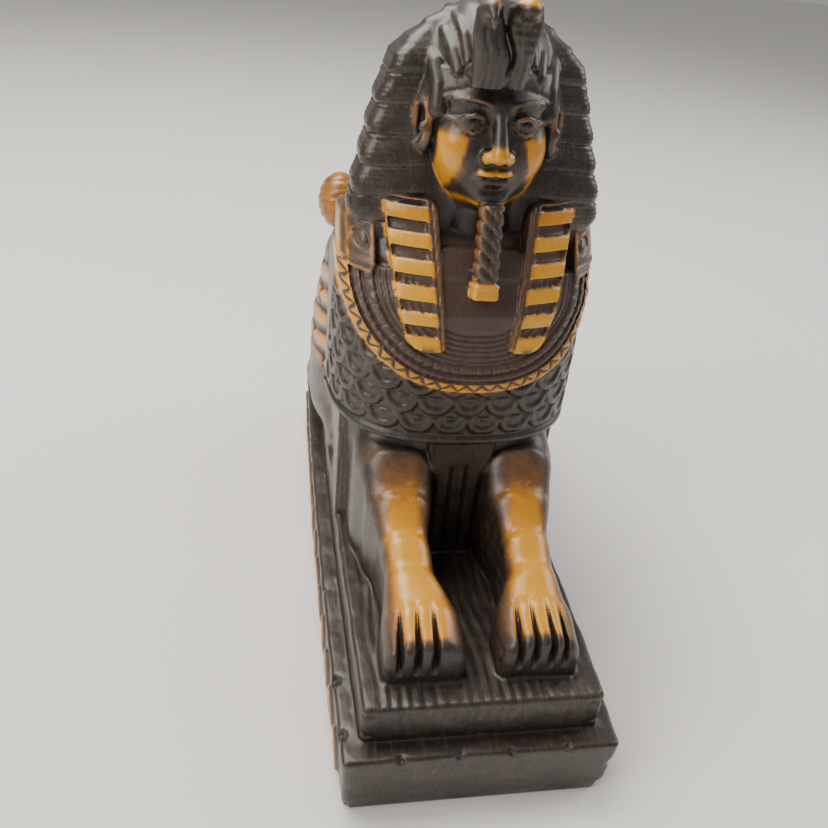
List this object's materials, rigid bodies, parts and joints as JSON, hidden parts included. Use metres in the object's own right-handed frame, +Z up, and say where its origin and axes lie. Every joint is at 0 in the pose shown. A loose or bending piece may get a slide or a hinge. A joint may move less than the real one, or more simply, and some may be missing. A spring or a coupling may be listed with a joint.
{
  "type": "sphinx statue",
  "caption": "Lion-bodied figure with a human head in a pleated headcloth, lying on a two-step plinth; a decorative casting that stands on its underside.",
  "frame": {"origin": "centre of the plinth's underside, on the surface it stands on", "axes": "+Z up; the sphinx faces -Y, along its length; +X is across, to its own left"},
  "size_m": [0.079, 0.205, 0.1922],
  "materials": {
    "resin": "amber cast resin under a dark rubbed wax patina, satin, with bare honey-coloured highlights"
  },
  "bodies": {
    "root": {"sphinx_on_plinth": "resin"}
  },
  "joints": []
}
